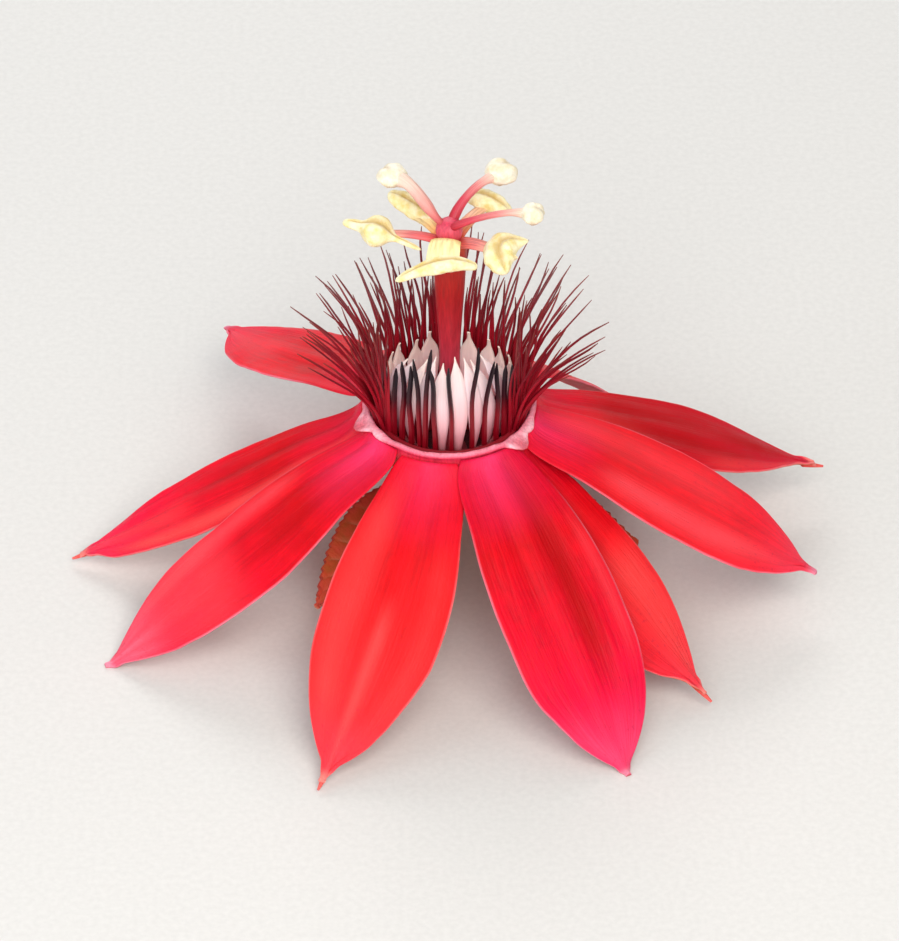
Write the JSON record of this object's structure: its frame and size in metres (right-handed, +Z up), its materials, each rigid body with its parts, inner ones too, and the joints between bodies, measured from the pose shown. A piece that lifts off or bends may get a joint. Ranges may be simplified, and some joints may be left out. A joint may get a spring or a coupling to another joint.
{
  "type": "passion flower",
  "caption": "Open red passion flower picked with a short stalk and its bracts: drooping narrow petals and sepals round a cup with a dark filament fringe, a white barrel and a tall central column.",
  "frame": {"origin": "on the surface the flower rests on, at the middle of its overall box, which is straight below the middle of the floral cup", "axes": "+Z up along the flower's axis, towards the stigmas; -Y is the front, the side the picture is taken from; +X is to the right in the picture"},
  "size_m": [0.1308, 0.1204, 0.0829],
  "materials": {
    "stalk": "satin",
    "bract": "matte",
    "cup": "satin",
    "sepal": "satin",
    "petal": "satin",
    "maroon_filament": "satin",
    "white_barrel": "satin",
    "column": "satin",
    "ovary": "satin",
    "stamen_filament": "satin",
    "anther": "matte",
    "style": "satin",
    "stigma": "matte"
  },
  "bodies": {
    "root": {"pedicel": "stalk", "bract_1": "bract", "bract_2": "bract", "bract_3": "bract", "floral_cup": "cup", "sepal_1": "sepal", "sepal_2": "sepal", "sepal_3": "sepal", "sepal_4": "sepal", "sepal_5": "sepal", "petal_1": "petal", "petal_2": "petal", "petal_3": "petal", "petal_4": "petal", "petal_5": "petal", "outer_corona": "maroon_filament", "inner_corona": "white_barrel", "column": "column", "ovary": "ovary", "stamen_filament_1": "stamen_filament", "stamen_filament_2": "stamen_filament", "stamen_filament_3": "stamen_filament", "stamen_filament_4": "stamen_filament", "stamen_filament_5": "stamen_filament", "anther_1": "anther", "anther_2": "anther", "anther_3": "anther", "anther_4": "anther", "anther_5": "anther", "style_1": "style", "style_2": "style", "style_3": "style", "stigma_1": "stigma", "stigma_2": "stigma", "stigma_3": "stigma"}
  },
  "joints": []
}
